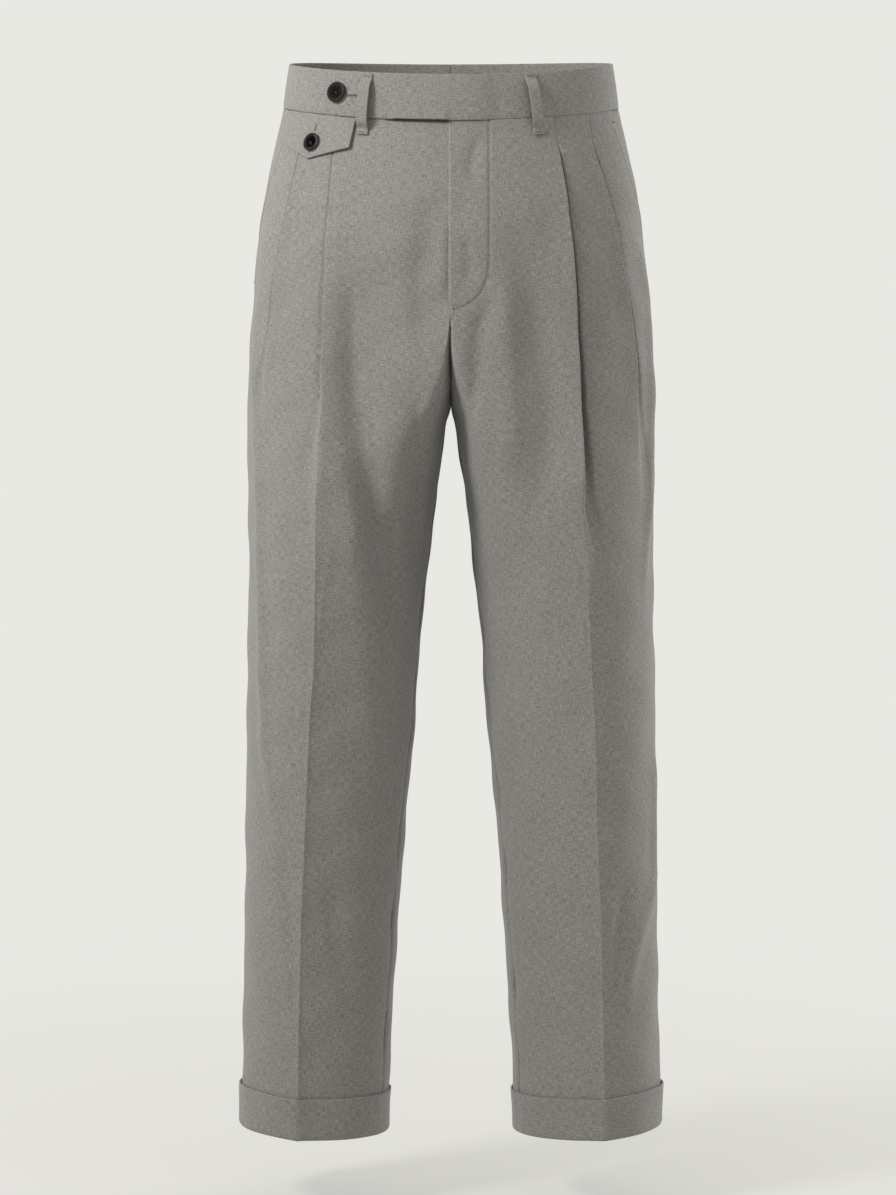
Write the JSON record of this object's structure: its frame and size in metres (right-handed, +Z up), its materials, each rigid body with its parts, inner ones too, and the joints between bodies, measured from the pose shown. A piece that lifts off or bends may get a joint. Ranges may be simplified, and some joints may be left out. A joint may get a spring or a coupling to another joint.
{
  "type": "pleated dress trousers",
  "caption": "Full-length pleated dress trousers, filled out as worn, with a tabbed waistband, belt loops, slanted pockets, a buttoned coin pocket flap and turn-ups.",
  "frame": {"origin": "middle of the waist, half way up the waistband, where the wearer's waist holds the trousers", "axes": "+Z up towards the waistband, +X to the wearer's left, -Y to the front"},
  "size_m": [0.4168, 0.279, 1.0673],
  "materials": {
    "wool": "matt grey melange wool with a fine plain weave",
    "horn": "polished near-black horn look"
  },
  "bodies": {
    "root": {"front_left": "wool", "front_right": "wool", "back_left": "wool", "back_right": "wool", "pocket_facing_left": "wool", "pocket_facing_right": "wool", "waistband_left": "wool", "waistband_right": "wool", "coin_pocket_flap": "wool", "cuff_left": "wool", "cuff_right": "wool", "belt_loop_front_left": "wool", "belt_loop_front_right": "wool", "belt_loop_back_left": "wool", "belt_loop_back_right": "wool", "belt_loop_centre_back": "wool", "waist_button": "horn", "flap_button": "horn"}
  },
  "joints": []
}
